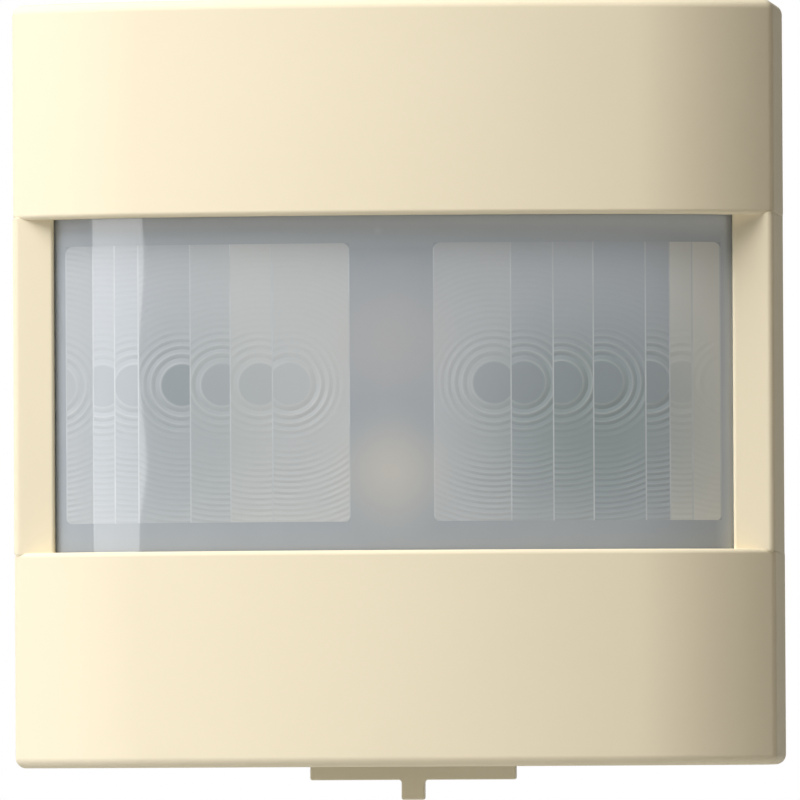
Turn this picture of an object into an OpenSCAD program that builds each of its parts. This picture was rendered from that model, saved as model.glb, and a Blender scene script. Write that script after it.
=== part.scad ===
// Motion sensor light switch: the plug-on sensor unit of a flush wall switch.
// Millimetres. X to the right seen from the front, Z up, Y into the wall.
// The origin is the middle of the rear face, which seats on the switch insert.

/* [Front cover] */
// Width and height of the square front
face_size = 55; // [54:0.1:57]
// How far the side edges of the front stand off the seat
edge_depth = 17; // [16.5:0.1:19]
// Radius of the bowed front in its middle
bow_r = 80; // [70:1:100]
// Half angle of the bow's middle arc
bow_join = 13; // [12:0.5:13.5]
// Slope of the bow at the side edges
bow_limit = 43; // [41:0.5:45]
// Rounding of the upright side edges
edge_r = 1.2; // [1:0.05:1.5]
// Rounding of the rims and of the ledges along the lens
rim_r = 0.85; // [0.4:0.05:0.95]
// Wall thickness of the cover
cover_wall = 1.6; // [1.3:0.1:1.9]
// Thickness of the ledge walls above and below the lens
ledge_wall = 1.6; // [1.4:0.1:2]
// Thickness of the strips at both sides of the lens
strip_wall = 1.8; // [1.4:0.1:2]
// How far the cover's rear rim stands off the seat
rim_depth = 7.5; // [6.5:0.1:8.5]

/* [Lens] */
// Width of the strips at both sides of the window
strip_w = 3; // [2.75:0.05:3.75]
// Height of the window between the two ledges
window_h = 24; // [22:0.1:26]
// How far the middle of the lens lies behind the bow
lens_recess = 2; // [1.6:0.1:2.6]
// Half angle of the middle arc of the lens
lens_join = 13; // [12:0.5:13.5]
// Radius of the lens towards its sides
lens_end_r = 18; // [17:0.1:19]
// Thickness of the lens
lens_wall = 1; // [0.8:0.05:1.2]
// How far the flanges step back from the face of the lens
flange_step = 0.6; // [0.4:0.05:0.7]
// How far the flanges reach past the window
flange_lap = 1.3; // [0.8:0.1:1.4]
// How far the flanges end short of the window's sides
flange_inset = 2.5; // [2:0.25:4.5]
// Height of the two grooved blocks
block_h = 20; // [16:0.1:21]
// Bare strip between the two blocks
block_gap = 6; // [4:0.1:8]
// Bare margin beside each block
block_margin = 0.9; // [0.6:0.1:1.5]
// Height of the lens fields over the inside of the lens
field_wall = 0.4; // [0.3:0.05:0.5]
// Gap between neighbouring lens fields
field_gap = 0.12; // [0.1:0.01:0.2]
// Pitch of the ring grooves
groove_pitch = 1; // [0.9:0.05:1.5]
// Depth of the ring grooves
groove_depth = 0.25; // [0.15:0.05:0.28]
// Radius of the disc in the middle of each ring pattern
groove_disc = 1.5; // [1:0.1:2]

/* [Lens frame] */
// Thickness of the frame's plate
frame_plate = 1.5; // [1.2:0.1:1.8]
// How much the frame's plate ends short of a square, above and below
frame_step = 3.2; // [2.2:0.2:4.6]
// Width of the frame beside its opening
frame_side = 3.2; // [2.7:0.1:4.7]
// Thickness of the two curved ribs that press on the lens
rib_wall = 1.8; // [1.4:0.1:2.2]
// Distance of the frame screws from the board screws, sideways
screw_step_x = 4; // [3:0.1:6]
// Distance of the frame screws from the board screws, upwards
screw_step_z = 2.5; // [2:0.1:3.5]

/* [Screws] */
// Radius of the screw shanks
shank_r = 0.9; // [0.8:0.05:1]
// Radius of the screw heads
head_r = 1.8; // [1.6:0.05:1.9]
// Height of the screw heads
head_h = 1.1; // [0.9:0.05:1.2]
// Length of the screw shanks
shank_len = 6; // [5:0.1:6.4]
// Radius of the screw bosses
boss_r = 2.2; // [2:0.05:2.4]
// Width of the driver slots in screws and dials
slot_w = 0.6; // [0.5:0.05:0.7]
// Depth of the driver slots
slot_depth = 0.6; // [0.4:0.05:0.7]

/* [Detectors] */
// Outward turn of each heat detector
detector_turn = 25; // [20:1:30]
// Distance of each detector from the middle
detector_x = 8.5; // [8:0.1:9]
// Height of the detector seat over the board, at the detector's axis
detector_seat = 2.5; // [2.4:0.1:3]
// Radius of the detector's can
can_r = 4.1; // [3.8:0.05:4.3]
// Height of the can
can_h = 4; // [3.5:0.1:4.2]
// Radius of the can's foot flange
can_foot_r = 4.6; // [4.4:0.05:4.7]
// Thickness of the can's foot flange
can_foot_h = 0.5; // [0.4:0.05:0.7]
// Width of the detector's window
filter_w = 4.4; // [3.6:0.1:5]
// Height of the detector's window
filter_h = 3.4; // [3:0.1:4]
// Thickness of the detector's window
filter_wall = 0.5; // [0.4:0.05:0.8]
// Radius of the detector's wire leads
lead_r = 0.23; // [0.2:0.01:0.25]
// Radius of the circle that the leads stand on
lead_circle = 2.54; // [2.4:0.01:2.6]

/* [Sensor holder] */
// Height of the holder's side blocks
holder_h = 11; // [10:0.1:12]
// Half width of the holder's middle block
holder_mid = 3.6; // [3.4:0.1:4]
// Half width of the whole holder
holder_half = 13.4; // [13.1:0.1:13.6]
// Radius of the hollow under each detector
hollow_r = 3.4; // [3:0.1:3.6]
// Radius of the pegs that hold the holder on the board
peg_r = 0.8; // [0.6:0.05:0.9]
// Distance of the pegs from the middle, upwards
peg_z = 4.4; // [4.2:0.05:4.6]

/* [Light guides] */
// Radius of the light guides
guide_r = 1.4; // [1.2:0.05:1.5]
// Radius of the guides' collars
collar_r = 1.9; // [1.7:0.05:2]
// Thickness of the guides' collars
collar_h = 0.6; // [0.5:0.05:0.8]
// Height of the indicator's guide over the middle
indicator_z = 1.8; // [1.6:0.1:2]
// Depth of the brightness guide under the middle
brightness_z = 6.5; // [6.2:0.1:7]
// Room between the guides and the inside of the lens
guide_room = 0.6; // [0.4:0.1:1]

/* [Circuit board] */
// Clearance between the board and the housing's side walls
board_room = 0.8; // [0.3:0.1:1.3]
// Thickness of the board
board_wall = 1.6; // [1.4:0.1:1.7]
// Distance of the board's rear face from the seat
board_depth = 8.9; // [8.8:0.1:9.1]
// Distance of the board screws from the board's edges
board_edge = 2.5; // [2.3:0.1:2.9]
// Length of a chip resistor
chip_l = 2; // [1.6:0.1:2.2]
// Width of a chip resistor
chip_w = 1.25; // [1:0.05:1.4]
// Height of a chip resistor
chip_h = 0.6; // [0.4:0.05:0.8]
// Height of the indicator lamp and of the light sensor
lamp_h = 0.9; // [0.7:0.05:1.1]
// Length of the controller chip's case
case_l = 12.8; // [11:0.1:13]
// Width of the controller chip's case
case_w = 7.5; // [7:0.1:8]
// Height of the controller chip's case
case_h = 2.3; // [2:0.1:2.6]
// Pitch of the controller chip's legs
leg_pitch = 1.27; // [1.2:0.01:1.27]
// Radius of the capacitors
capacitor_r = 2.5; // [2.2:0.1:3]
// Height of the capacitors
capacitor_h = 5.4; // [4:0.1:6]

/* [Setting dials] */
// Distance of the outer dials from the board screws, sideways
dial_room = 7; // [6:0.1:9]
// Distance of the dials from the board's upper edge
dial_edge = 8.5; // [8:0.1:10.5]
// Radius of a dial's head
dial_r = 2.6; // [2:0.05:2.8]
// Radius of a dial's shaft
shaft_r = 1.5; // [1.2:0.05:1.7]
// Length of a dial's shaft
shaft_len = 3.2; // [2.5:0.1:3.8]
// How far the dials lie below the seat
dial_sink = 0.4; // [0.2:0.05:0.8]
// Width and height of a trimmer's case
trimmer_size = 7; // [6:0.1:7.5]
// Height of a trimmer's case
trimmer_h = 5; // [4.5:0.1:5.2]

/* [Plug] */
// Pitch of the contact pins
pin_pitch = 2.54; // [2:0.01:2.54]
// Width and height of a contact pin
pin_size = 0.64; // [0.5:0.01:0.7]
// How far the pins stand behind the seat
pin_out = 6; // [4:0.1:9]
// Length of the pins' tapered ends
pin_taper = 0.5; // [0.3:0.05:0.8]
// Thickness of the connector block
block_wall = 2.5; // [2:0.1:3]

/* [Rear housing] */
// Distance of the housing's front edge from the seat
housing_depth = 12.5; // [12.2:0.1:12.8]
// Wall thickness of the housing
housing_wall = 1.4; // [1.2:0.05:1.6]
// Thickness of the housing's rear wall
seat_wall = 1.6; // [1.4:0.05:1.7]
// Rounding of the housing's upright corners
housing_r = 1; // [0.6:0.1:1.3]
// Distance of the snap catches from the middle
catch_offset = 13; // [12:0.5:15]
// Width of the snap catches
catch_w = 6; // [5:0.1:7]
// Length of the snap catches
catch_l = 2.2; // [1.8:0.1:2.4]
// Height of the snap catches
catch_h = 0.7; // [0.5:0.05:0.8]
// Distance of the snap catches from the seat
catch_depth = 11; // [10.6:0.1:11.4]

/* [Locking slide] */
// Width of the slide's cross bar
bar_w = 15; // [13:0.1:17]
// Width of the slide's pull pin
pull_w = 1.66; // [1.2:0.02:2.2]
// How far the pull pin stands out of the cross bar
pull_len = 1.45; // [1:0.05:2]
// How far the cross bar shows under the cover
bar_show = 1; // [0.6:0.05:1.3]
// Upward travel of the slide
slide_travel = 1.5; // [1:0.05:1.6]
// Thickness of the slide
slide_wall = 1.4; // [1.2:0.05:1.6]
// Half width of the slide between its rails
slide_half = 5.7; // [5:0.1:6]
// Length of the rails that guide the slide
rail_len = 9; // [7:0.1:10]
// Thickness of the rails
rail_wall = 1.5; // [1.2:0.1:1.8]
// How far the rails reach over the slide
rail_lap = 1; // [0.6:0.1:1.4]
// Height of the slide's head over the rails
slide_head = 1.5; // [1:0.1:2]
// Sideways place of the slide
slide_x = 0; // [-0.5:0.05:0.5]

/* [Retaining springs] */
// Width of the spring strips
spring_w = 8; // [6:0.1:9]
// Thickness of the spring strips
spring_wall = 0.4; // [0.3:0.02:0.5]
// Distance of the spring legs from the middle
spring_x = 18; // [17.5:0.1:18.5]
// How far the springs stand behind the seat
spring_out = 5; // [4:0.1:6]
// Sideways reach of a spring's barb
spring_barb = 1.2; // [0.8:0.1:1.4]
// Length of a spring's foot
spring_foot = 4.5; // [4:0.1:5]
// Radius of the stakes that hold the springs
stake_r = 0.8; // [0.6:0.05:0.9]
// Radius of the stakes' heads
stake_head_r = 1.4; // [1.2:0.05:1.5]

/* [Clearances] */
// Gap between the lens and its window
lens_gap = 0.1; // [0.05:0.01:0.2]
// Gap between pieces that seat on each other
seat_gap = 0.05; // [0.02:0.01:0.1]
// Gap between the cover and what slides into it
cover_fit = 0.2; // [0.1:0.02:0.3]
// Gap round screws, pegs, guides, pins and shafts in their holes
hole_fit = 0.05; // [0.02:0.01:0.08]
// Gap round the slide, the dials' heads and the springs
moving_gap = 0.2; // [0.15:0.01:0.3]

/* [Hidden] */
$fn = 64;
// Overrun of a cut past the faces that it opens
cut = 1;

// A bow is [middle radius, end radius, angle at which the two arcs join]
half = face_size / 2;
window_w = face_size - 2 * strip_w;
corner_x = half - edge_r;
bow_end_r = (half - edge_r * (1 - sin(bow_limit)) - bow_r * sin(bow_join)) / (sin(bow_limit) - sin(bow_join));
face_bow = [bow_r, bow_end_r, bow_join];
end_x = (bow_r - bow_end_r) * sin(bow_join);
end_y = (bow_end_r - edge_r) * cos(bow_limit) - edge_depth;
bow_y = end_y + (bow_r - bow_end_r) * cos(bow_join);
bow_front = bow_y - bow_r;
inner_half = half - cover_wall;
ledge_z = window_h / 2 + ledge_wall;
// How deep the swept bands go, past the plane of the side edges
sweep_depth = cut - edge_depth - bow_front;
// Angles by which neighbouring arcs overlap, and the step between them
join_lap = 3;
join_over = 0.5;
join_step = 0.03;
end_sweep = bow_limit - bow_join + join_lap + join_over;
strip_r = edge_r - 3 * join_step;
strip_end = window_h / 2 + ledge_wall * 3 / 4;
strip_rear = strip_wall - edge_depth - strip_r;

// Lens
lens_r = bow_r - lens_recess;
lens_bow = [lens_r, lens_end_r, lens_join];
lens_end_x = end_centre_x(lens_bow);
lens_end_y = end_centre_y(lens_bow);
lens_half_w = window_w / 2 - lens_gap;
lens_half_h = window_h / 2 - lens_gap;
flange_back = flange_step + lens_wall;
flange_half_h = window_h / 2 + flange_lap;
flange_w = window_w - 2 * flange_inset;
flange_root = 1;
// Edges of the fields and middles of their rings, as shares of a block's width from its inner edge
field_edges = [0, 0.27, 0.42, 0.56, 0.74, 0.825, 0.905, 1];
field_optics = [0.22, 0.33, 0.45, 0.6, 0.76, 0.85, 0.93];
block_from = block_gap / 2;
block_span = lens_half_w - block_margin - block_from;
field_sink = 0.2;
inside_r = lens_r - lens_wall;
inside_end_r = lens_end_r - lens_wall;
inside_join_x = inside_r * sin(lens_join);

// Lens frame
frame_back = -housing_depth - seat_gap;
frame_front = frame_back - frame_plate;
frame_w = 2 * (inner_half - cover_fit);
frame_h = frame_w - 2 * frame_step;
frame_open_w = frame_w - 2 * frame_side;
frame_open_h = 2 * (flange_half_h - rib_wall);
frame_r = 1;
frame_slot_turn = 40;

// Board and what stands on it
board_rear = -board_depth;
board_front = board_rear - board_wall;
trimmer_rear = board_rear + trimmer_h;
holder_front = board_front - detector_seat - (detector_x - holder_mid) * tan(detector_turn);
holder_rim = board_front - detector_seat + (holder_half - detector_x) * tan(detector_turn);
holder_lip = 0.6;
holder_low = brightness_z + collar_r + holder_lip;
peg_edge = 0.5;
peg_x = holder_half - peg_r - peg_edge;
// Depth of pin, lead and peg ends below the board's faces
tail_sink = 0.2;
peg_len = board_wall - tail_sink;
lead_spots = [45, 135, 270];
board_slot_turn = 20;
lamp_room = 0.4;
lamp_pocket_r = 1.9;
pin_columns = 5;
pin_rows = 2;
plug_edge = 0.5;
plug_w = pin_columns * pin_pitch + plug_edge;
plug_h = pin_rows * pin_pitch + plug_edge;
plug_room = 1;
case_x = -14.5;
case_z = 0;
case_legs = 10;
leg_w = 0.42;
leg_wall = 0.25;
leg_span = 1.4;
leg_gap = 0.1;
leg_start = -(case_legs - 1) * leg_pitch / 2 - leg_w / 2;
capacitor_spots = [[13, -14], [19, -13], [-13, -14]];
capacitor_base = 0.6;
chip_spots = [
    [-18, 14], [-14, 14], [-10, 14], [10, 14], [14, 14], [18, 14],
    [-8, -14], [-4, -14], [4, -14], [8, -14]
];
dial_flat = 0.4;

// Rear housing
housing_size = 2 * (inner_half - cover_fit);
housing_inner = housing_size - 2 * housing_wall;
board_size = housing_inner - 2 * board_room;
board_screw = board_size / 2 - board_edge;
frame_screw_x = board_screw - screw_step_x;
frame_screw_z = board_screw - screw_step_z;
dial_pitch = board_screw - dial_room;
dial_z = board_size / 2 - dial_edge;
seat_inside = -seat_wall;
pocket_gap = 0.2;

// Locking slide, at rest pulled out
slide_rear = seat_inside - moving_gap / 2;
slide_front = slide_rear - slide_wall;
bar_low = -half - bar_show;
bar_high = slide_travel_stop() - slide_travel;
rail_bottom = -housing_inner / 2;
rail_top = rail_bottom + rail_len;
rail_half = slide_half + moving_gap;
head_half = slide_half + rail_wall;

// Retaining springs
foot_rear = seat_inside;
foot_front = foot_rear - spring_wall;
stake_x = spring_x - spring_foot / 2 - spring_wall;
stake_head_h = 0.6;
spring_open = spring_w + 2 * moving_gap;

function slide_travel_stop() = -housing_size / 2 - seat_gap;
function end_centre_x(bow) = (bow[0] - bow[1]) * sin(bow[2]);
function end_centre_y(bow) = bow_y - (bow[0] - bow[1]) * cos(bow[2]);
function field_x(share) = block_from + share * block_span;
function field_turn(x) = x < inside_join_x ? asin(x / inside_r) : asin((x - lens_end_x) / inside_end_r);
function field_y(x) = x < inside_join_x ? bow_y - inside_r * cos(field_turn(x))
    : lens_end_y - inside_end_r * cos(field_turn(x));

// Shared shapes
module both_sides() {
    children();
    mirror([1, 0, 0]) children();
}

module above_and_below() {
    children();
    mirror([0, 0, 1]) children();
}

module four_spots(x, z) {
    for (sx = [-1, 1], sz = [-1, 1]) translate([sx * x, 0, sz * z]) children();
}

// Extrudes an outline drawn in X and Z from y = from to y = to
module along_y(from, to) {
    translate([0, to, 0]) rotate([90, 0, 0]) linear_extrude(to - from) children();
}

module rod_y(r, from, to) {
    along_y(from, to) circle(r);
}

module quarter(r, turn) {
    rotate(turn) intersection() {
        circle(r);
        square(r);
    }
}

module rounded_rect(w, h, r) {
    square([w - 2 * r, h], center = true);
    for (side = [0, 180]) rotate(side) {
        translate([w / 2 - r, r - h / 2]) square([r, h - 2 * r]);
        translate([w / 2 - r, h / 2 - r]) quarter(r, 0);
        translate([w / 2 - r, r - h / 2]) quarter(r, -90);
    }
}

// Area behind a bow that is set back by inset, out to half_w and back to y = back
module bow_area(bow, inset, half_w, back) {
    mid_r = bow[0] - inset;
    join_x = mid_r * sin(bow[2]);
    intersection() {
        union() {
            intersection() {
                translate([0, bow_y]) circle(mid_r, $fn = 360);
                translate([-join_x, back - mid_r]) square([2 * join_x, 2 * mid_r]);
            }
            for (side = [-1, 1]) translate([side * end_centre_x(bow), end_centre_y(bow)])
                circle(bow[1] - inset - join_step, $fn = 180);
        }
        translate([-half_w, back - mid_r]) square([2 * half_w, mid_r]);
    }
}

// Curved plate between two set-backs behind a bow
module bow_plate(bow, front, rear, half_w, back) {
    difference() {
        bow_area(bow, front, half_w, back);
        bow_area(bow, rear, half_w + cut, back + cut);
    }
}

// Section of a band between two radii, with both outer edges rounded
module rounded_bar(from, to, low, high) {
    translate([from, low]) square([to - rim_r - from, high - low]);
    translate([to - rim_r, low + rim_r]) square([rim_r, high - low - 2 * rim_r]);
    translate([to - rim_r, high - rim_r]) quarter(rim_r, 0);
    translate([to - rim_r, low + rim_r]) quarter(rim_r, -90);
}

// Front cover, whose pieces run into each other and step in by a hair towards the sides
module cover_band() {
    translate([0, bow_y, 0]) rotate_extrude(start = -90 - bow_join, angle = 2 * bow_join, $fn = 360)
        rounded_bar(bow_r - sweep_depth, bow_r, window_h / 2 - 2 * join_step, half);
    both_sides() translate([end_x, end_y, 0])
        rotate_extrude(start = bow_join - join_lap - 90, angle = end_sweep, $fn = 180)
            rounded_bar(bow_end_r - sweep_depth + cut / 2, bow_end_r - join_step,
                window_h / 2 - join_step, half - join_step);
}

module cover_edge() {
    translate([corner_x, -edge_depth, 0])
        rotate_extrude(start = bow_limit - join_lap - 90, angle = 90 - bow_limit + 4 * join_lap)
            rounded_bar(0, edge_r - 2 * join_step, 2 * join_step - half, half - 2 * join_step);
}

module cover_strip() {
    translate([corner_x, -edge_depth, -strip_end]) {
        rotate_extrude(start = -90, angle = bow_limit + join_lap) square([strip_r, 2 * strip_end]);
        translate([window_w / 2 - cut - corner_x, -strip_r, 0])
            cube([corner_x + cut - window_w / 2, strip_r + cut, 2 * strip_end]);
    }
}

module cover_hollow() {
    above_and_below() translate([0, 0, ledge_z]) linear_extrude(inner_half - ledge_z)
        bow_area(face_bow, cover_wall, inner_half, cut - rim_depth);
    translate([0, 0, -ledge_z]) linear_extrude(2 * ledge_z) {
        bow_area(lens_bow, flange_step - seat_gap, window_w / 2, strip_rear + cut);
        translate([-inner_half, strip_rear]) square([2 * inner_half, cut - rim_depth - strip_rear]);
    }
    translate([-window_w / 2, bow_front - cut, -window_h / 2])
        cube([window_w, strip_rear - bow_front + 2 * cut, window_h]);
}

// Places a catch or its pocket on all four walls, two on each
module catch_places() {
    for (turn = [0, 90, 180, 270], offset = [-1, 1])
        rotate([0, turn, 0]) translate([housing_size / 2, -catch_depth, offset * catch_offset]) children();
}

module catch_pocket() {
    depth = catch_h + pocket_gap;
    translate([0, -pocket_gap, -catch_w / 2 - pocket_gap])
        cube([cover_fit + depth, catch_l + 2 * pocket_gap, catch_w + 2 * pocket_gap]);
}

module frame_boss() {
    intersection() {
        rod_y(boss_r, bow_front, frame_front - seat_gap);
        translate([0, 0, -boss_r]) linear_extrude(2 * boss_r) translate([-frame_screw_x, 0])
            bow_area(face_bow, cover_wall / 2, inner_half, frame_front - seat_gap);
    }
}

module front_cover() {
    color("#f2e9d0") difference() {
        union() {
            difference() {
                union() {
                    above_and_below() cover_band();
                    both_sides() cover_edge();
                    both_sides() cover_strip();
                    along_y(3 * join_step - edge_depth, -rim_depth) rounded_rect(face_size, face_size, rim_r);
                }
                cover_hollow();
                catch_places() catch_pocket();
            }
            above_and_below() both_sides() translate([frame_screw_x, 0, frame_screw_z]) frame_boss();
        }
        four_spots(frame_screw_x, frame_screw_z)
            rod_y(shank_r + hole_fit, frame_back - shank_len - hole_fit, frame_front + cut);
    }
}

// Lens with two blocks of ring-grooved fields on its inside
module groove_section(rings) {
    low = field_wall - groove_depth;
    reach = groove_disc + rings * groove_pitch;
    polygon([
        [0, -field_sink - cut],
        [reach, -field_sink - cut],
        for (i = [rings:-1:1]) each [
            [groove_disc + i * groove_pitch, low],
            [groove_disc + (i - 1) * groove_pitch, field_wall]
        ],
        [groove_disc, low],
        [0, field_wall]
    ]);
}

module lens_field(i) {
    from = field_x(field_edges[i]);
    to = field_x(field_edges[i + 1]);
    mid = (from + to) / 2;
    turn = field_turn(mid);
    width = (to - from) / cos(turn) - field_gap;
    optic = (field_x(field_optics[i]) - mid) / cos(turn);
    reach = norm([width / 2 + abs(optic), block_h / 2]);
    rings = ceil((reach - groove_disc) / groove_pitch);
    translate([mid, field_y(mid), 0]) rotate([0, 0, turn]) intersection() {
        translate([-width / 2, -field_sink, -block_h / 2])
            cube([width, field_sink + field_wall + cut, block_h]);
        translate([optic, 0, 0]) rotate([-90, 0, 0]) rotate_extrude() groove_section(rings);
    }
}

module lens() {
    color("#c9cfd2") union() {
        translate([0, 0, -lens_half_h]) linear_extrude(2 * lens_half_h)
            bow_plate(lens_bow, 0, lens_wall, lens_half_w, frame_front - seat_gap);
        above_and_below() translate([0, 0, lens_half_h - flange_root])
            linear_extrude(flange_half_h - lens_half_h + flange_root)
                bow_plate(lens_bow, flange_step, flange_back, flange_w / 2, frame_front - seat_gap);
        both_sides() for (i = [0:len(field_optics) - 1]) lens_field(i);
    }
}

module lens_frame() {
    color("#e8e4da") union() {
        difference() {
            along_y(frame_front, frame_back) rounded_rect(frame_w, frame_h, frame_r);
            along_y(frame_front - cut, frame_back + cut) square([frame_open_w, frame_open_h], center = true);
            four_spots(frame_screw_x, frame_screw_z)
                rod_y(shank_r + hole_fit, frame_front - cut, frame_back + cut);
        }
        above_and_below() translate([0, 0, frame_open_h / 2]) linear_extrude(rib_wall)
            bow_area(lens_bow, flange_back + seat_gap, flange_w / 2, frame_front);
    }
}

// Screw with its head's rear face at y = 0 and its shank towards the front
module screw(turn) {
    difference() {
        union() {
            rod_y(head_r, 0, head_h);
            rod_y(shank_r, -shank_len, 0);
        }
        rotate([0, turn, 0]) translate([-head_r, head_h - slot_depth, -slot_w / 2])
            cube([2 * head_r, slot_depth + cut, slot_w]);
    }
}

module frame_screws() {
    color("#b9bcbe") four_spots(frame_screw_x, frame_screw_z)
        translate([0, frame_back + hole_fit, 0]) screw(frame_slot_turn);
}

// Board screws come from the front, so they are turned round
module board_screws() {
    color("#b9bcbe") four_spots(board_screw, board_screw)
        translate([0, board_front - hole_fit, 0]) rotate([180, 0, 0]) screw(board_slot_turn);
}

// Heat detectors
module at_detector(side) {
    translate([side * detector_x, board_front - detector_seat, 0])
        rotate([0, 0, side * detector_turn]) rotate([90, 0, 0]) children();
}

module sensor_holder() {
    color("#f4f4f0") difference() {
        union() {
            translate([0, 0, -holder_h / 2]) linear_extrude(holder_h) both_sides() polygon([
                [0, board_front],
                [holder_half, board_front],
                [holder_half, holder_rim],
                [holder_mid, holder_front],
                [0, holder_front]
            ]);
            translate([-holder_mid, holder_front, -holder_low])
                cube([2 * holder_mid, board_front - holder_front, holder_low]);
            four_spots(peg_x, peg_z) rod_y(peg_r, board_front - peg_r, board_front + peg_len);
        }
        for (side = [-1, 1]) at_detector(side)
            translate([0, 0, -2 * detector_seat]) cylinder(r = hollow_r, h = 2 * detector_seat + cut);
        for (z = [indicator_z, -brightness_z]) translate([0, 0, z]) {
            rod_y(guide_r + hole_fit, holder_front - cut, board_front + cut);
            rod_y(lamp_pocket_r, board_front - lamp_h - lamp_room, board_front + cut);
        }
    }
}

module detector_can(side) {
    color("#c8c6be") at_detector(side) difference() {
        union() {
            cylinder(r = can_foot_r, h = can_foot_h);
            cylinder(r = can_r, h = can_h);
        }
        translate([0, 0, can_h - filter_wall / 2]) cube([filter_w, filter_h, filter_wall], center = true);
    }
}

module detector_window(side) {
    color("#3a3634") at_detector(side) translate([0, 0, can_h - filter_wall / 2])
        cube([filter_w - 2 * hole_fit, filter_h - 2 * hole_fit, filter_wall - hole_fit], center = true);
}

module detector_can_left() {
    detector_can(-1);
}

module detector_can_right() {
    detector_can(1);
}

module detector_window_left() {
    detector_window(-1);
}

module detector_window_right() {
    detector_window(1);
}

// Each lead leaves its can square and then goes straight through the board
function lead_foot(spot) = [
    detector_x + lead_circle * cos(spot) * cos(detector_turn),
    board_front - detector_seat + lead_circle * cos(spot) * sin(detector_turn)
];
function lead_drop(spot) = board_front - lead_r - lead_foot(spot)[1];
function lead_knee_x(spot) = lead_foot(spot)[0] - lead_drop(spot) * tan(detector_turn);

module detector_leads() {
    color("#d8c690") both_sides() for (spot = lead_spots) {
        slant = lead_drop(spot) / cos(detector_turn);
        at_detector(1) translate([lead_circle * cos(spot), lead_circle * sin(spot), -slant - lead_r])
            cylinder(r = lead_r, h = slant + lead_r);
        translate([lead_knee_x(spot), 0, lead_circle * sin(spot)])
            rod_y(lead_r, board_front - 2 * lead_r, board_rear - tail_sink);
    }
}

// Light guides and the lamps under them
module light_guide(z) {
    tip = bow_front + lens_recess + lens_wall + guide_room;
    foot = board_front - lamp_h - lamp_room / 2;
    color("#e9d9b4") translate([0, 0, z]) {
        translate([0, foot, 0]) rotate([90, 0, 0]) rotate_extrude() {
            square([guide_r, foot - tip - guide_r]);
            translate([0, foot - tip - guide_r]) quarter(guide_r, 0);
        }
        rod_y(collar_r, holder_front - collar_h, holder_front);
    }
}

module indicator_guide() {
    light_guide(indicator_z);
}

module brightness_guide() {
    light_guide(-brightness_z);
}

module chip_lamp(z) {
    translate([-chip_l / 2, board_front - lamp_h, z - chip_w / 2]) cube([chip_l, lamp_h, chip_w]);
}

module indicator_lamp() {
    color("#f0e6a0") chip_lamp(indicator_z);
}

module light_sensor() {
    color("#40444a") chip_lamp(-brightness_z);
}

// Circuit board
module circuit_board() {
    color("#2f6b46") difference() {
        along_y(board_front, board_rear) rounded_rect(board_size, board_size, housing_r);
        four_spots(board_screw, board_screw) rod_y(shank_r + hole_fit, board_front - cut, board_rear + cut);
        four_spots(peg_x, peg_z) rod_y(peg_r + hole_fit, board_front - cut, board_rear + cut);
        pin_places() rod_y(pin_size, board_front - cut, board_rear + cut);
        both_sides() for (spot = lead_spots) translate([lead_knee_x(spot), 0, lead_circle * sin(spot)])
            rod_y(2 * lead_r, board_front - cut, board_rear + cut);
    }
}

// Body and gull-wing legs of the controller
module controller_chip() {
    color("#26262a") translate([case_x, board_rear, case_z]) {
        translate([-case_w / 2, leg_gap, -case_l / 2]) cube([case_w, case_h, case_l]);
        both_sides() for (i = [0:case_legs - 1])
            translate([0, 0, leg_start + i * leg_pitch]) linear_extrude(leg_w) polygon([
                [case_w / 2 - leg_wall, case_h / 2],
                [case_w / 2 + leg_span / 2, case_h / 2],
                [case_w / 2 + leg_span / 2, leg_wall],
                [case_w / 2 + leg_span, leg_wall],
                [case_w / 2 + leg_span, 0],
                [case_w / 2 + leg_span / 2 - leg_wall, 0],
                [case_w / 2 + leg_span / 2 - leg_wall, case_h / 2 - leg_wall],
                [case_w / 2 - leg_wall, case_h / 2 - leg_wall]
            ]);
    }
}

module capacitors() {
    color("#b4b8bc") for (spot = capacitor_spots) translate([spot[0], board_rear, spot[1]]) {
        rod_y(capacitor_r, capacitor_base, capacitor_h);
        translate([-capacitor_r, 0, -capacitor_r]) cube([2 * capacitor_r, capacitor_base, 2 * capacitor_r]);
    }
}

module chip_resistors() {
    color("#3b3b40") for (spot = chip_spots)
        translate([spot[0] - chip_w / 2, board_front - chip_h, spot[1] - chip_l / 2])
            cube([chip_w, chip_h, chip_l]);
}

// Plug
module pin_places() {
    for (column = [0:pin_columns - 1], row = [0:pin_rows - 1])
        translate([(column - (pin_columns - 1) / 2) * pin_pitch, 0, (row - (pin_rows - 1) / 2) * pin_pitch])
            children();
}

module connector_block() {
    hole = pin_size + 2 * hole_fit;
    color("#2a2a2e") difference() {
        along_y(board_rear, board_rear + block_wall) square([plug_w, plug_h], center = true);
        pin_places() along_y(board_rear - cut, board_rear + block_wall + cut) square(hole, center = true);
    }
}

module contact_pins() {
    color("#cdb36a") pin_places() translate([0, 0, -pin_size / 2]) linear_extrude(pin_size) polygon([
        [-pin_size / 2, board_front + tail_sink],
        [pin_size / 2, board_front + tail_sink],
        [pin_size / 2, pin_out - pin_taper],
        [pin_size / 4, pin_out],
        [-pin_size / 4, pin_out],
        [-pin_size / 2, pin_out - pin_taper]
    ]);
}

// Setting dials
module trimmer_cases() {
    color("#3d6fa5") for (i = [-1:1]) translate([i * dial_pitch, 0, dial_z]) difference() {
        along_y(board_rear, trimmer_rear) square(trimmer_size, center = true);
        rod_y(shaft_r + hole_fit, trimmer_rear - shaft_len - moving_gap, trimmer_rear + cut);
    }
}

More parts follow.
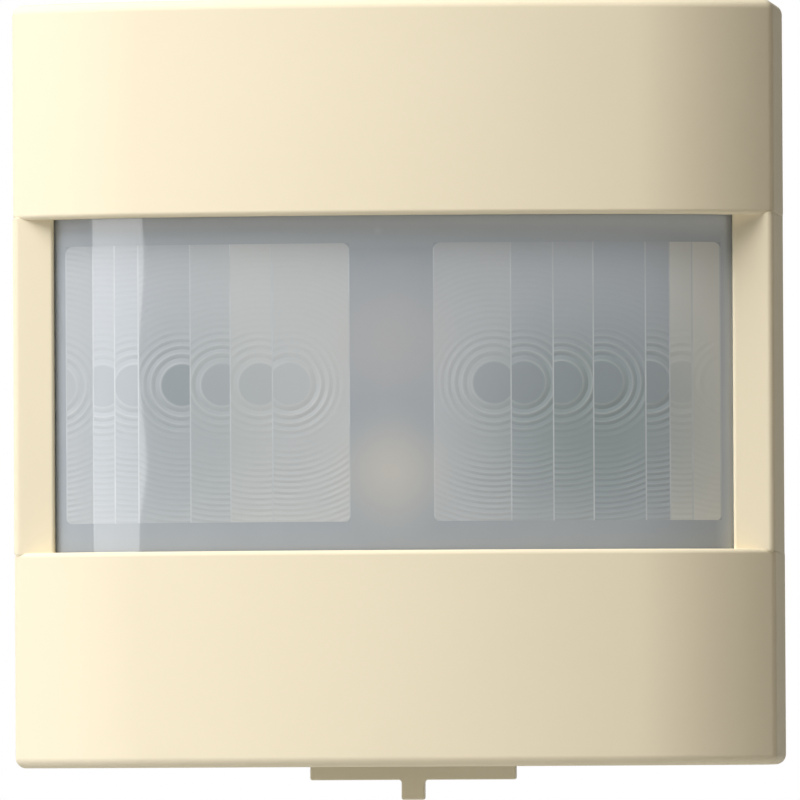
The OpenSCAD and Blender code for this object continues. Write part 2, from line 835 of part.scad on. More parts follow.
module setting_dial(place) {
    under_head = trimmer_rear + moving_gap / 2;
    color("#f4f2ea") translate([place * dial_pitch, 0, dial_z]) difference() {
        union() {
            rod_y(dial_r, under_head, -dial_sink);
            rod_y(shaft_r, under_head - shaft_len, under_head);
        }
        translate([-dial_r, -dial_sink - 2 * slot_depth, -slot_w / 2])
            cube([2 * dial_r, 2 * slot_depth + cut, slot_w]);
        translate([-slot_w, -dial_sink - slot_depth, dial_r - dial_flat])
            cube([2 * slot_w, slot_depth + cut, cut]);
    }
}

module sensitivity_dial() {
    setting_dial(-1);
}

module run_on_dial() {
    setting_dial(0);
}

module brightness_dial() {
    setting_dial(1);
}

// Rear housing
module housing_catch() {
    translate([0, 0, -catch_w / 2]) linear_extrude(catch_w) polygon([
        [-catch_h, 0],
        [0, 0],
        [catch_h, catch_l * 3 / 4],
        [catch_h, catch_l],
        [-catch_h, catch_l]
    ]);
}

module slide_rail() {
    translate([slide_x, 0, rail_bottom]) both_sides() linear_extrude(rail_len) polygon([
        [rail_half, seat_inside],
        [rail_half + rail_wall, seat_inside],
        [rail_half + rail_wall, slide_front - moving_gap - rail_wall],
        [rail_half - rail_lap, slide_front - moving_gap - rail_wall],
        [rail_half - rail_lap, slide_front - moving_gap],
        [rail_half, slide_front - moving_gap]
    ]);
}

module spring_stake() {
    translate([stake_x, 0, 0]) {
        rod_y(stake_r, foot_front - stake_head_h, seat_inside);
        rod_y(stake_head_r, foot_front - seat_gap - stake_head_h, foot_front - seat_gap);
    }
}

module rear_housing() {
    color("#d9d5c8") difference() {
        union() {
            difference() {
                along_y(-housing_depth, 0) rounded_rect(housing_size, housing_size, housing_r);
                along_y(-housing_depth - cut, seat_inside) square(housing_inner, center = true);
            }
            four_spots(board_screw, board_screw) rod_y(boss_r, board_rear, seat_inside);
            catch_places() housing_catch();
            slide_rail();
            both_sides() spring_stake();
        }
        four_spots(board_screw, board_screw)
            rod_y(shank_r + hole_fit, board_rear - cut, board_front + shank_len + hole_fit);
        along_y(seat_inside - cut, cut)
            square([plug_w + 2 * plug_room, plug_h + 2 * plug_room], center = true);
        for (i = [-1:1]) translate([i * dial_pitch, 0, dial_z])
            rod_y(dial_r + moving_gap, seat_inside - cut, cut);
        both_sides() translate([spring_x - moving_gap - spring_wall, seat_inside - cut, -spring_open / 2])
            cube([spring_barb + 2 * spring_wall + 2 * moving_gap, seat_wall + 2 * cut, spring_open]);
        translate([slide_x - rail_half, slide_front - moving_gap, -half])
            cube([2 * rail_half, seat_inside - slide_front + moving_gap, half - housing_inner / 2 + cut]);
    }
}

// Locking slide, a T that reaches out under the cover
module locking_slide() {
    color("#efe6cd") translate([slide_x, 0, 0]) along_y(slide_front, slide_rear) {
        translate([-slide_half, bar_high]) square([2 * slide_half, rail_top + seat_gap - bar_high]);
        translate([-head_half, rail_top + seat_gap]) square([2 * head_half, slide_head]);
        translate([-bar_w / 2, bar_low]) square([bar_w, bar_high - bar_low]);
        translate([-pull_w / 2, bar_low - pull_len]) square([pull_w, pull_len]);
    }
}

// Bent spring strips with a foot inside the housing and a barbed leg behind it
module retaining_springs() {
    leg_in = spring_x - spring_wall;
    color("#c4c7c9") both_sides() difference() {
        translate([0, 0, -spring_w / 2]) linear_extrude(spring_w) polygon([
            [leg_in - spring_foot, foot_front],
            [spring_x, foot_front],
            [spring_x, spring_out / 4],
            [spring_x + spring_barb, spring_out / 2],
            [spring_x, spring_out],
            [leg_in, spring_out - spring_wall],
            [spring_x + spring_barb - 3 / 2 * spring_wall, spring_out / 2],
            [leg_in, spring_out / 4 + spring_wall / 2],
            [leg_in, foot_rear - seat_gap],
            [leg_in - spring_foot, foot_rear - seat_gap]
        ]);
        translate([stake_x, 0, 0]) rod_y(stake_r + hole_fit, foot_front - cut, foot_rear + cut);
    }
}

front_cover();
lens();
lens_frame();
frame_screws();
sensor_holder();
detector_can_left();
detector_can_right();
detector_window_left();
detector_window_right();
detector_leads();
indicator_guide();
brightness_guide();
indicator_lamp();
light_sensor();
circuit_board();
board_screws();
controller_chip();
capacitors();
chip_resistors();
connector_block();
contact_pins();
trimmer_cases();
sensitivity_dial();
run_on_dial();
brightness_dial();
rear_housing();
locking_slide();
retaining_springs();
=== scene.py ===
import bpy
import bmesh
import math
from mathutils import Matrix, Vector


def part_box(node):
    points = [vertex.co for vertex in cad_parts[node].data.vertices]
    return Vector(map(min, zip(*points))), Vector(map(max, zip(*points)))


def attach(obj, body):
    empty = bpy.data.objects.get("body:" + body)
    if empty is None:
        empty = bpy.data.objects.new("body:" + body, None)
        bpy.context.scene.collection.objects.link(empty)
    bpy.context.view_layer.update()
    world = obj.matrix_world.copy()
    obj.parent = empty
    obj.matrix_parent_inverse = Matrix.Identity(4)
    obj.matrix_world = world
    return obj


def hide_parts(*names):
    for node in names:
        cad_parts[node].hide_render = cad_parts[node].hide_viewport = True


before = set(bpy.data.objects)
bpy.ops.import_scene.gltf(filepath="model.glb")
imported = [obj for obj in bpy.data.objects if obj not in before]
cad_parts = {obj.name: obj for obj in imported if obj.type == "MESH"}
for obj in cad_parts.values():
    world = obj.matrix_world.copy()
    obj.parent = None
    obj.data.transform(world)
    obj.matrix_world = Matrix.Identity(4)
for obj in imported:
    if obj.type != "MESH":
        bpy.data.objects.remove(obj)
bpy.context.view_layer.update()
mm = 0.001
sameSpot = 0.004   # points closer than this, in mm, count as one
margin = 0.01      # room in mm for picking points up to a limit


# helpers for modelling

def startPiece(name):
    bpy.ops.object.select_all(action="DESELECT")
    piece = bpy.context.object
    piece.select_set(True)
    piece.name = name
    piece.data.name = name
    return piece


def addPlate(name, size, place, turn):
    bpy.ops.object.select_all(action="DESELECT")
    bpy.ops.mesh.primitive_plane_add(size=1, calc_uvs=False, location=[v * mm for v in place], rotation=turn)
    piece = startPiece(name)
    piece.scale = (size[0] * mm, size[1] * mm, 1)
    bpy.ops.object.transform_apply(location=True, rotation=True, scale=True)
    bpy.ops.object.mode_set(mode="EDIT")
    bpy.ops.mesh.select_mode(type="VERT")
    return piece


def pick(test):   # selects the points whose place in mm passes, with the edges and faces between them
    shape = bmesh.from_edit_mesh(bpy.context.object.data)
    for edge in shape.edges:
        edge.select = False
    for vert in shape.verts:
        vert.select = bool(test(vert.co / mm))
    shape.select_flush_mode()
    bmesh.update_edit_mesh(bpy.context.object.data)


def near(a, b):
    return abs(a - b) < sameSpot


def extrudeBy(step):
    bpy.ops.mesh.extrude_region_move(TRANSFORM_OT_translate={"value": [v * mm for v in step]})


def sweepBy(steps, degrees, centre):   # spin turns clockwise, so the angle is turned round
    place = (centre[0] * mm, centre[1] * mm, 0)
    bpy.ops.mesh.spin(steps=steps, angle=math.radians(-degrees), center=place, axis=(0, 0, 1))


def cutAt(place, normal, clear=False):
    bpy.ops.mesh.select_all(action="SELECT")
    bpy.ops.mesh.bisect(plane_co=[v * mm for v in place], plane_no=normal, clear_outer=clear)


def mirrorOver(piece, axes):
    bpy.ops.object.mode_set(mode="OBJECT")
    tool = piece.modifiers.new("mirror", "MIRROR")
    tool.use_axis = axes
    tool.merge_threshold = sameSpot / 2 * mm
    bpy.ops.object.modifier_apply(modifier=tool.name)


def joinTo(piece, other):
    bpy.ops.object.select_all(action="DESELECT")
    other.select_set(True)
    piece.select_set(True)
    bpy.context.view_layer.objects.active = piece
    bpy.ops.object.join()


def closeUp(piece, angle, merge=sameSpot):   # merged, faces outwards, smooth where the form is round
    bpy.ops.object.mode_set(mode="EDIT")
    bpy.ops.mesh.select_all(action="SELECT")
    bpy.ops.mesh.remove_doubles(threshold=merge * mm)
    bpy.ops.mesh.normals_make_consistent(inside=False)
    bpy.ops.object.mode_set(mode="OBJECT")
    bpy.ops.object.shade_smooth_by_angle(angle=math.radians(angle))
    tool = piece.modifiers.new("evenShade", "WEIGHTED_NORMAL")
    tool.keep_sharp = True
    tool.weight = 90
    bpy.ops.object.modifier_apply(modifier=tool.name)


# helpers for materials

def hexColour(code):
    parts = [int(code[i:i + 2], 16) / 255 for i in (1, 3, 5)]
    linear = [p / 12.92 if p <= 0.04045 else ((p + 0.055) / 1.055) ** 2.4 for p in parts]
    return (*linear, 1)


def setInputs(tree, node, values):
    for key, value in values.items():
        if isinstance(value, bpy.types.NodeSocket):
            tree.links.new(value, node.inputs[key])
        else:
            node.inputs[key].default_value = value


def addNode(tree, kind, inputs=None, **settings):
    node = tree.nodes.new(kind)
    for name, value in settings.items():
        setattr(node, name, value)
    setInputs(tree, node, inputs or {})
    return node


def startMaterial(name):
    material = bpy.data.materials.new(name)
    material.use_nodes = True
    tree = material.node_tree
    shader = tree.nodes["Principled BSDF"]
    place = tree.nodes.new("ShaderNodeTexCoord")
    return material, tree, shader, place


def mouldedPlastic(name, light, dark, patch, grain, depth, roughness, spread, gleam=0.5):
    # dye that clouds a little over patch mm, and a mould grain of grain mm that breaks up the gloss
    material, tree, shader, place = startMaterial(name)
    spot = place.outputs["Object"]
    cloud = addNode(tree, "ShaderNodeTexNoise", {"Vector": spot, "Scale": 1 / (patch * mm), "Detail": 2.0})
    tint = addNode(tree, "ShaderNodeMix", {0: cloud.outputs["Fac"], 6: hexColour(dark), 7: hexColour(light)},
                   data_type="RGBA")
    pits = addNode(tree, "ShaderNodeTexNoise", {"Vector": spot, "Scale": 1 / (grain * mm), "Detail": 1.0})
    gloss = addNode(tree, "ShaderNodeMapRange",
                    {"Value": pits.outputs["Fac"], "From Min": 0.3, "From Max": 0.7,
                     "To Min": roughness - spread, "To Max": roughness + spread})
    relief = addNode(tree, "ShaderNodeBump",
                     {"Height": pits.outputs["Fac"], "Distance": depth * mm, "Strength": 1.0})
    setInputs(tree, shader, {"Base Color": tint.outputs[2], "Roughness": gloss.outputs["Result"],
                             "Normal": relief.outputs["Normal"], "Specular IOR Level": gleam})
    return material


def drawnMetal(name, light, dark, run, grain, roughness):
    # rolled, drawn or plated metal: faint lines along the run, uneven gloss
    material, tree, shader, place = startMaterial(name)
    spread, lineDepth = 0.08, 0.004
    stretch = addNode(tree, "ShaderNodeMapping", {"Vector": place.outputs["Object"], "Scale": run})
    lines = addNode(tree, "ShaderNodeTexNoise",
                    {"Vector": stretch.outputs["Vector"], "Scale": 1 / (grain * mm), "Detail": 3.0})
    tint = addNode(tree, "ShaderNodeMix", {0: lines.outputs["Fac"], 6: hexColour(dark), 7: hexColour(light)},
                   data_type="RGBA")
    gloss = addNode(tree, "ShaderNodeMapRange",
                    {"Value": lines.outputs["Fac"], "From Min": 0.3, "From Max": 0.7,
                     "To Min": roughness - spread, "To Max": roughness + spread})
    relief = addNode(tree, "ShaderNodeBump", {"Height": lines.outputs["Fac"], "Distance": lineDepth * mm})
    setInputs(tree, shader, {"Base Color": tint.outputs[2], "Roughness": gloss.outputs["Result"],
                             "Metallic": 1.0, "Normal": relief.outputs["Normal"]})
    return material


# front cover: one moulding with a bowed front, two wide bands, side strips and a rolled rim

coverShape = {
    "half": 27.5, "bowR": 80.0, "bowY": 55.222, "endX": 13.506, "endY": -3.280,
    "join": 13.0, "limit": 43.0, "cornerX": 26.3, "cornerY": -17.0, "cornerR": 1.2,
    "startDepth": 4.0, "bowSteps": 12, "endSteps": 18, "cornerSteps": 10,
    "windowW": 24.5, "windowH": 12.0, "rimRound": 0.75, "ledgeRound": 0.36, "roundSteps": 6,
    "rimY": -7.5, "rimWall": 1.6, "rimInside": -12.0,
    "sideSink": 0.02, "stripSink": 0.13, "stripBack": 2.6, "stripLap": 0.3, "stripStart": 1.0,
    "stripEdge": 0.5, "stripEdgeSteps": 8, "stripRound": 0.25, "stripRoundSteps": 4,
    "stripClear": 0.03, "stripDip": 0.22, "smoothBelow": 50,
}


def makeBands():
    c = coverShape
    apex = c["bowY"] - c["bowR"]
    high = c["half"] - c["windowH"]
    place = (0, apex + c["startDepth"] / 2, c["windowH"] + high / 2)
    bands = addPlate("front_cover_shell", (high, c["startDepth"]), place, (0, math.pi / 2, 0))
    for level, rounding in ((c["half"], c["rimRound"]), (c["windowH"], c["ledgeRound"])):
        pick(lambda p: near(p.y, apex) and near(p.z, level))
        bpy.ops.mesh.bevel(offset=rounding * mm, segments=c["roundSteps"], affect="VERTICES")
    pick(lambda p: near(p.y, apex + c["startDepth"]))
    bpy.ops.mesh.delete(type="VERT")   # leaves the band's section as a line of edges
    bpy.ops.mesh.select_all(action="SELECT")
    sweepBy(c["bowSteps"], c["join"], (0, c["bowY"]))
    sweepBy(c["endSteps"], c["limit"] - c["join"], (c["endX"], c["endY"]))
    sweepBy(c["cornerSteps"], 90 - c["limit"], (c["cornerX"], c["cornerY"]))
    extrudeBy((0, c["rimY"] - c["cornerY"], 0))
    mirrorOver(bands, (True, False, True))
    return bands


def makeStrips():   # side strips, set back a little from the bands
    c = coverShape
    stripX = c["half"] - c["sideSink"]
    stripTop = c["windowH"] + c["stripLap"]
    face = c["cornerY"] - c["cornerR"] + c["stripSink"]
    turnY = face + c["stripEdge"]
    place = (stripX - c["stripStart"] / 2, turnY, 0)
    strips = addPlate("cover_side", (c["stripStart"], 2 * stripTop), place, (math.pi / 2, 0, 0))
    pick(lambda p: near(p.x, stripX - c["stripStart"]))
    bpy.ops.mesh.delete(type="VERT")
    bpy.ops.mesh.select_all(action="SELECT")
    sweepBy(c["stripEdgeSteps"], -90, (stripX - c["stripEdge"], turnY))
    extrudeBy((c["windowW"] + c["stripRound"] - stripX + c["stripEdge"], 0, 0))
    sweepBy(c["stripRoundSteps"], -90, (c["windowW"] + c["stripRound"], face + c["stripRound"]))
    extrudeBy((0, c["stripBack"], 0))
    pick(lambda p: near(p.y, turnY) and near(p.x, stripX))
    extrudeBy((0, c["rimY"] - turnY, 0))
    for level in (1, -1):
        cutAt((0, 0, level * (c["windowH"] + c["stripClear"])), (0, 0, 1))   # clear of the ledge's own points
    pick(lambda p: near(abs(p.z), stripTop) and p.y < turnY + margin)
    dip = (-c["stripDip"] * mm, c["stripDip"] * mm, 0)
    bpy.ops.transform.translate(value=dip)   # the strips' ends run into the bands
    mirrorOver(strips, (True, False, False))
    return strips


def makeCover():
    c = coverShape
    cover = makeBands()
    joinTo(cover, makeStrips())
    bpy.ops.object.mode_set(mode="EDIT")
    bpy.ops.mesh.select_all(action="SELECT")
    bpy.ops.mesh.remove_doubles(threshold=sameSpot * mm)
    for level in (1, -1):
        pick(lambda p: near(p.z, level * c["half"]) and near(p.y, c["rimY"]))
        bpy.ops.mesh.edge_face_add()   # closes the rear edge of the upper and lower side
        pick(lambda p: near(p.z, level * c["half"]))
        bpy.ops.mesh.edge_face_add()
        pick(lambda p: near(p.z, level * c["windowH"]) and p.y < c["cornerY"] + margin)
        bpy.ops.mesh.edge_face_add()   # ledge above or below the window
    pick(lambda p: near(p.y, c["rimY"]))
    extrudeBy((0, 0, 0))
    inner = 1 - c["rimWall"] / c["half"]
    bpy.ops.transform.resize(value=(inner, 1, inner), center_override=(0, c["rimY"] * mm, 0))
    extrudeBy((0, c["rimInside"] - c["rimY"], 0))
    closeUp(cover, c["smoothBelow"])
    print("cover:", len(cover.data.polygons), "faces")
    return cover


# lens: thin curved plate with two blocks of ring-grooved fields behind a bare border

lensShape = {
    "bowR": 78.0, "bowY": 55.222, "endR": 18.0, "endX": 13.497, "endY": -3.240, "join": 13.0,
    "halfW": 24.48, "halfH": 12.0, "back": 2.0, "startDepth": 1.0, "stepLength": 0.6, "smoothBelow": 40,
    "blockTop": 10.02, "blockLow": -10.02, "rib": 0.09, "blockRound": 0.6, "roundBlur": 0.04,
    "cuts": [3.05, 8.58, 11.62, 14.51, 18.27, 20.0, 21.6, 23.6],
    "centres": [7.35, 9.5, 12.2, 15.1, 18.5, 20.9, 24.4], "centreZ": -0.04, "fieldShift": 0.34,
    # how light and warm each field is painted, and how dark its disc is painted as shade, from the middle
    # outwards; the lightness is partly painted light, strongest on the outer right fields against the shade
    # of the steep end
    "leftTone": [(0.45, 0.1), (0.5, 0.25), (0.3, 0.3), (0.2, 0.7), (0.1, 0.3), (0.15, 0.3), (0.3, 0.05)],
    "rightTone": [(0.25, 0.45), (0.1, 0.5), (0.1, 0.55), (0.0, 0.6), (0.05, 0.4), (0.85, 0.15), (1.0, 0.0)],
}


def shiftFields(piece):   # the blocks sit a little right of the middle, the edges stay
    for vert in piece.data.vertices:
        vert.co.x += lensShape["fieldShift"] * mm * (1 - (vert.co.x / mm / lensShape["halfW"]) ** 2)


def markFields(lens):   # which film each face gets, and where it lies from its ring centre and in its block
    c = lensShape
    rings = lens.data.uv_layers.new(name="rings")
    tones = lens.data.uv_layers.new(name="tones")
    blocks = lens.data.uv_layers.new(name="blocks")
    inner, outer = c["cuts"][0], c["cuts"][-1]
    blockX = (inner + outer) / 2
    blockZ = (c["blockTop"] + c["blockLow"]) / 2
    for face in lens.data.polygons:
        x, z = abs(face.center.x / mm), face.center.z / mm
        inBlock = inner - c["rib"] < x < outer + c["rib"] and c["blockLow"] < z < c["blockTop"]
        field = sum(1 for cut in c["cuts"] if x > cut) - 1
        field = min(max(field, 0), len(c["centres"]) - 1)
        if inBlock:
            onEdge = z > c["blockTop"] - c["rib"] or z < c["blockLow"] + c["rib"]
            onRib = min(abs(x - cut) for cut in c["cuts"]) < c["rib"] / 2
            # ribs and the blocks' top and bottom edges take the rib film, painted light as a highlight
            face.material_index = 2 if onRib or onEdge else 1
        centre = c["centres"][field]
        tone = c["leftTone" if face.center.x < 0 else "rightTone"][field]
        for loop in face.loop_indices:
            point = lens.data.vertices[lens.data.loops[loop].vertex_index].co / mm
            rings.data[loop].uv = (abs(point.x) - centre, point.z - c["centreZ"])
            tones.data[loop].uv = tone
            blocks.data[loop].uv = (abs(point.x) - blockX, point.z - blockZ)


def makeLens(bare, grooved, rib):
    c = lensShape
    joinX = c["bowR"] * math.sin(math.radians(c["join"]))
    stops = [joinX, c["halfW"]]
    for cut in c["cuts"]:
        stops.append(cut - c["rib"] / 2)
        stops.append(cut + c["rib"] / 2)
    apex = c["bowY"] - c["bowR"]
    place = (0, apex + c["startDepth"] / 2, 0)
    lens = addPlate("lens_plate", (2 * c["halfH"], c["startDepth"]), place, (0, math.pi / 2, 0))
    pick(lambda p: near(p.y, apex + c["startDepth"]))
    bpy.ops.mesh.delete(type="VERT")
    for level in (c["blockTop"], c["blockTop"] - c["rib"], c["blockLow"] + c["rib"], c["blockLow"]):
        cutAt((0, 0, level), (0, 0, 1))
    bpy.ops.mesh.select_all(action="SELECT")
    last, lastX = 0.0, 0.0
    for x in sorted(stops):
        onBow = x < joinX + sameSpot
        slope = math.degrees(math.asin(x / c["bowR"] if onBow else (x - c["endX"]) / c["endR"]))
        centre = (0, c["bowY"]) if onBow else (c["endX"], c["endY"])
        sweepBy(max(1, round((x - lastX) / c["stepLength"])), slope - last, centre)
        last, lastX = slope, x
    extrudeBy((0, c["back"], 0))
    mirrorOver(lens, (True, False, False))
    bpy.ops.object.mode_set(mode="EDIT")
    for level in (1, -1):
        pick(lambda p: near(p.z, level * c["halfH"]))
        extrudeBy((0, c["back"], 0))
    closeUp(lens, c["smoothBelow"])
    for material in (bare, grooved, rib):
        lens.data.materials.append(material)
    markFields(lens)
    shiftFields(lens)
    print("lens:", len(lens.data.polygons), "faces")
    return lens


# ring grooves: on the inside of the lens each field is a small plate with rings round its own middle

ringShape = {
    "disc": 1.53, "domeSteps": 3, "wide": 4.284, "narrow": 2.7, "halfRing": 0.35, "reach": 11.2,
    "depth": 0.25, "draft": 0.06, "around": 72, "inset": 1.15, "base": 0.35, "gap": 0.12,
    "merge": 0.0001, "smoothBelow": 20,
}


def sheetY(x, inset):   # how far back the lens sheet lies at x, in mm
    c = lensShape
    bowR, endR = c["bowR"] - inset, c["endR"] - inset
    if x < bowR * math.sin(math.radians(c["join"])):
        return c["bowY"] - math.sqrt(bowR ** 2 - x ** 2)
    return c["endY"] - math.sqrt(endR ** 2 - (x - c["endX"]) ** 2)


def widenTo(radius, wider, step):
    extrudeBy((0, step, 0))
    bpy.ops.transform.resize(value=(wider / radius, 1, wider / radius), center_override=(0, 0, 0))


def makeRingDisc():
    c = ringShape
    domes = [c["disc"] * (i + 1) / c["domeSteps"] for i in range(c["domeSteps"])]
    levels = [c["depth"] * (1 - (r / c["disc"]) ** 2) for r in domes]
    bpy.ops.object.select_all(action="DESELECT")
    bpy.ops.mesh.primitive_circle_add(vertices=c["around"], radius=domes[0] * mm, fill_type="TRIFAN",
                                      calc_uvs=False, location=(0, levels[0] * mm, 0),
                                      rotation=(math.pi / 2, 0, 0))
    disc = startPiece("ring_disc")
    bpy.ops.object.transform_apply(location=True, rotation=True, scale=True)
    bpy.ops.object.mode_set(mode="EDIT")
    bpy.ops.mesh.select_mode(type="VERT")
    pick(lambda p: math.hypot(p.x, p.z) < margin)
    bpy.ops.transform.translate(value=(0, (c["depth"] - levels[0]) * mm, 0))
    pick(lambda p: math.hypot(p.x, p.z) > margin)
    for i in range(1, c["domeSteps"]):
        widenTo(domes[i - 1], domes[i], levels[i] - levels[i - 1])
    radius = c["disc"]
    while radius < c["reach"]:   # rings get narrower outwards, as in the film's own pattern
        wider = radius + c["disc"] / (c["wide"] - c["narrow"] * c["disc"] / (radius + c["halfRing"]))
        widenTo(radius, radius + c["draft"], c["depth"])
        widenTo(radius + c["draft"], wider, -c["depth"])
        radius = wider
    bpy.ops.object.mode_set(mode="OBJECT")
    return disc


def makeField(disc, start, end, middle):   # a copy of the disc, cut to its field, with walls and a flat foot
    c, sheet = ringShape, lensShape
    turn = math.atan2(sheetY(end, c["inset"]) - sheetY(start, c["inset"]), end - start)
    width = (end - start) / math.cos(turn)
    bpy.ops.object.select_all(action="DESELECT")
    disc.select_set(True)
    bpy.context.view_layer.objects.active = disc
    bpy.ops.object.duplicate()
    field = startPiece("ring_field")
    bpy.ops.object.mode_set(mode="EDIT")
    bpy.ops.mesh.select_all(action="SELECT")
    bpy.ops.transform.translate(value=((middle - start) / math.cos(turn) * mm, 0, sheet["centreZ"] * mm))
    cutAt((c["gap"] / 2, 0, 0), (-1, 0, 0), True)
    cutAt((width - c["gap"] / 2, 0, 0), (1, 0, 0), True)
    cutAt((0, 0, sheet["blockTop"]), (0, 0, 1), True)
    cutAt((0, 0, sheet["blockLow"]), (0, 0, -1), True)
    bpy.ops.mesh.select_all(action="SELECT")
    bpy.ops.mesh.remove_doubles(threshold=sameSpot * mm)   # slivers left by the cuts
    bpy.ops.mesh.select_mode(type="EDGE")   # so that only the border is taken
    bpy.ops.mesh.select_all(action="DESELECT")
    bpy.ops.mesh.select_non_manifold()
    extrudeBy((0, 0, 0))
    bpy.ops.transform.resize(value=(1, 0, 1), center_override=(0, -c["base"] * mm, 0))
    bpy.ops.mesh.fill(use_beauty=True)
    bpy.ops.object.mode_set(mode="OBJECT")
    field.location = (start * mm, sheetY(start, c["inset"]) * mm, 0)
    field.rotation_euler = (0, 0, turn)
    bpy.ops.object.transform_apply(location=True, rotation=True, scale=True)
    return field


def makeRings(film):
    c, cuts = ringShape, lensShape["cuts"]
    disc = makeRingDisc()
    fields = [makeField(disc, *row) for row in zip(cuts, cuts[1:], lensShape["centres"])]
    bpy.data.objects.remove(disc)
    rings = fields[0]
    for field in fields[1:]:
        joinTo(rings, field)
    rings.name = "lens_ring_fields"
    rings.data.name = "lens_ring_fields"
    mirrorOver(rings, (True, False, False))
    closeUp(rings, c["smoothBelow"], c["merge"])
    shiftFields(rings)
    rings.data.materials.append(film)
    print("rings:", len(rings.data.polygons), "faces")
    return rings


# T slide: flat plate with a cross bar and a pull pin that show under the cover

slideShape = {
    "front": -3.1, "back": -1.7, "barW": 15.0, "barTop": -27.25, "barLow": -28.5, "bodyW": 11.4,
    "pinW": 1.66, "pinLow": -29.95, "cornerRound": 0.2, "cornerSteps": 3, "edgeRound": 0.14, "edgeSteps": 2,
    "roundAbove": 50, "smoothBelow": 35,
}


def makeSlide():
    c = slideShape
    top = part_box("locking_slide")[1][2] / mm
    barHigh = c["barTop"] - c["barLow"]
    place = (0, c["front"], (c["barTop"] + c["barLow"]) / 2)
    slide = addPlate("locking_slide_plate", (c["barW"], barHigh), place, (math.pi / 2, 0, 0))
    for width in (c["bodyW"], c["pinW"]):
        for way in (-1, 1):
            cutAt((way * width / 2, 0, 0), (1, 0, 0))
    pick(lambda p: near(p.z, c["barLow"]) and abs(p.x) < c["pinW"] / 2 + margin)
    extrudeBy((0, 0, c["pinLow"] - c["barLow"]))
    pick(lambda p: near(p.z, c["barTop"]) and abs(p.x) < c["bodyW"] / 2 + margin)
    extrudeBy((0, 0, top - c["barTop"]))
    for width, level in ((c["pinW"], c["barLow"]), (c["bodyW"], c["barTop"])):
        pick(lambda p: near(abs(p.x), width / 2) and near(p.z, level))
        bpy.ops.mesh.bevel(offset=c["cornerRound"] * mm, segments=c["cornerSteps"], affect="VERTICES")
    bpy.ops.mesh.select_all(action="SELECT")
    bpy.ops.mesh.dissolve_limited(angle_limit=math.radians(1))
    bpy.ops.mesh.select_all(action="SELECT")
    extrudeBy((0, c["back"] - c["front"], 0))
    bpy.ops.object.mode_set(mode="OBJECT")
    tool = slide.modifiers.new("edges", "BEVEL")
    tool.width = c["edgeRound"] * mm
    tool.segments = c["edgeSteps"]
    tool.limit_method = "ANGLE"
    tool.angle_limit = math.radians(c["roundAbove"])
    bpy.ops.object.modifier_apply(modifier=tool.name)
    closeUp(slide, c["smoothBelow"])
    print("slide:", len(slide.data.polygons), "faces")
    return slide


# satin cream thermoplastic, moulded in a lightly etched tool: soft sheen, no visible grain from arm's length
creamPlastic = mouldedPlastic("moulded_cream_thermoplastic", "#f3e8cc", "#f0e5c8", patch=14, grain=0.22,
                              depth=0.0012, roughness=0.55, spread=0.03, gleam=0.02)
# the same plastic, with the plain tool finish of a hidden piece, painted a little darker than the cover as
# shade
slidePlasticShaded = mouldedPlastic("moulded_cream_slide_shaded", "#e9dfc2", "#e4d9bb", patch=6, grain=0.2,
                              depth=0.003, roughness=0.5, spread=0.04, gleam=0.2)


# film of the lens: milky polyethylene, sizes in mm

filmLook = {
    "cloud": 5.0, "scatter": 3.4, "wave": 11.0, "waveDepth": 0.18, "middleY": -22.78,
    # x, z, width, strength and colour of the painted glow where the two light guides lie, and of the gate
    # mark above them
    "guideGlowAndGate": [(0.3, 3.0, 7.0, 0.55, "#b6b4b2"), (0.3, -6.3, 5.6, 0.75, "#c4c1b8"),
              (-0.6, 10.9, 0.45, 0.8, "#b4bac0")],
    # dark detectors behind the outer fields, painted as soft shade that is stronger on the right: x and
    # strength, then what both share
    "detectors": [(-14.6, 0.3), (14.6, 0.78)], "detectorY": -21.0, "detectorZ": -3.0,
    "detectorWide": 12.0, "detectorCore": 1.0, "detectorShadeTint": "#82908f",
    "warmLitTint": "#cdcec8", "discShadeTint": "#8a9398", "ringHighlightTint": "#dfe2e0", "ribDimTint": "#b4b9bb",
    "grooveDepth": 0.22, "ringHighlightStrength": 0.26, "warmFade": 0.75, "uneven": 6.0, "ribRipple": 2.2,
    # painted light on the upper and the right border of the bare film, lifting the shade there
    "liftLow": 9.6, "liftHigh": 11.4, "liftLeft": 23.2, "liftRight": 24.2, "liftStrength": 0.75,
    "borderLiftTint": "#c2c8cc", "cornerTint": "#9ea5ab",
}


def showGuideGlowAndGate(tree, spot, base):   # painted light: soft warm glows where the light guides lie behind the bare strip, and the gate mark above them
    for spotX, spotZ, wide, strength, warmthAndLight in filmLook["guideGlowAndGate"]:
        middle = (spotX * mm, filmLook["middleY"] * mm, spotZ * mm)
        far = addNode(tree, "ShaderNodeVectorMath", {0: spot, 1: middle}, operation="DISTANCE")
        glow = addNode(tree, "ShaderNodeMapRange",
                       {"Value": far.outputs["Value"], "From Min": wide * mm, "From Max": 0.0,
                        "To Min": 0.0, "To Max": strength}, interpolation_type="SMOOTHSTEP")
        base = addNode(tree, "ShaderNodeMix", {0: glow.outputs["Result"], 6: base, 7: hexColour(warmthAndLight)},
                       data_type="RGBA").outputs[2]
    return base


def showDetectorsAndShade(tree, spot, base):   # the detectors show through as soft grey, painted as shade, darker on the right
    c = filmLook
    for x, strength in c["detectors"]:
        middle = (x * mm, c["detectorY"] * mm, c["detectorZ"] * mm)
        far = addNode(tree, "ShaderNodeVectorMath", {0: spot, 1: middle}, operation="DISTANCE")
        shade = addNode(tree, "ShaderNodeMapRange",
                        {"Value": far.outputs["Value"], "From Min": c["detectorWide"] * mm,
                         "From Max": c["detectorCore"] * mm, "To Min": 0.0, "To Max": strength},
                        interpolation_type="SMOOTHSTEP")
        base = addNode(tree, "ShaderNodeMix",
                       {0: shade.outputs["Result"], 6: base, 7: hexColour(c["detectorShadeTint"])},
                       data_type="RGBA").outputs[2]
    return base


